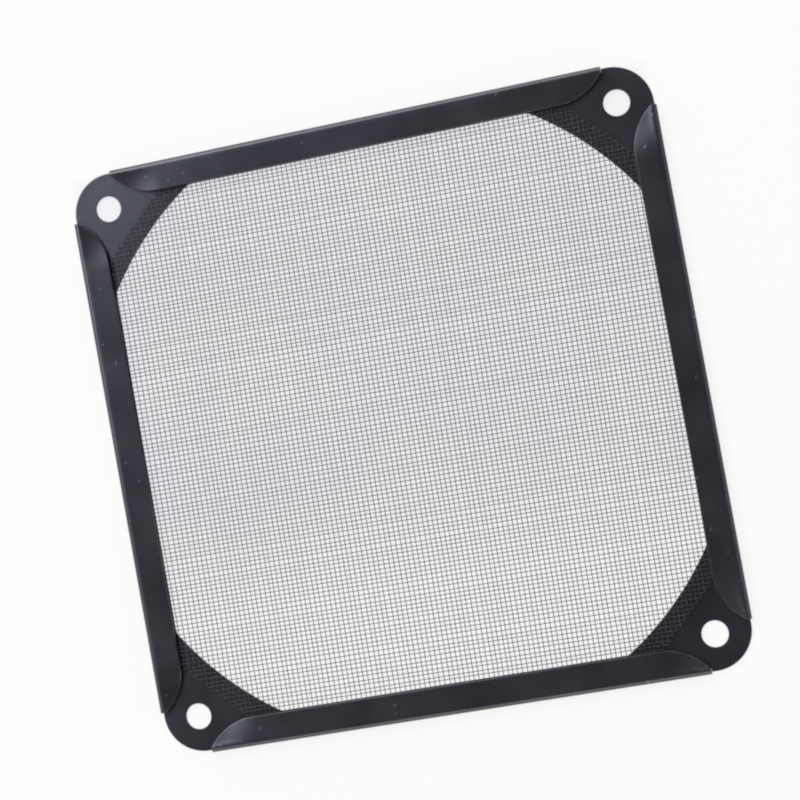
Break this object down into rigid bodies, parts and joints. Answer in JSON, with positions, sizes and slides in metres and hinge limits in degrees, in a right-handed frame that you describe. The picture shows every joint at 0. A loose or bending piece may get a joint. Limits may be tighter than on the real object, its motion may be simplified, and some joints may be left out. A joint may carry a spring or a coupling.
{
  "type": "fan dust filter",
  "caption": "Square dust filter for a 120 mm cooling fan: a folded sheet-metal frame with corner screw holes clamps a woven wire mesh.",
  "frame": {"origin": "centre of the back face, on the plane that the plate rests on", "axes": "+Z out of the front, the side the flaps are folded over to; +X right and +Y up when the front is looked at"},
  "size_m": [0.12, 0.12, 0.002],
  "materials": {
    "black_sheet": "black anodised, satin",
    "black_wire": "black coated wire, matt to satin"
  },
  "bodies": {
    "root": {"frame": "black_sheet", "filter_mesh": "black_wire"}
  },
  "joints": []
}
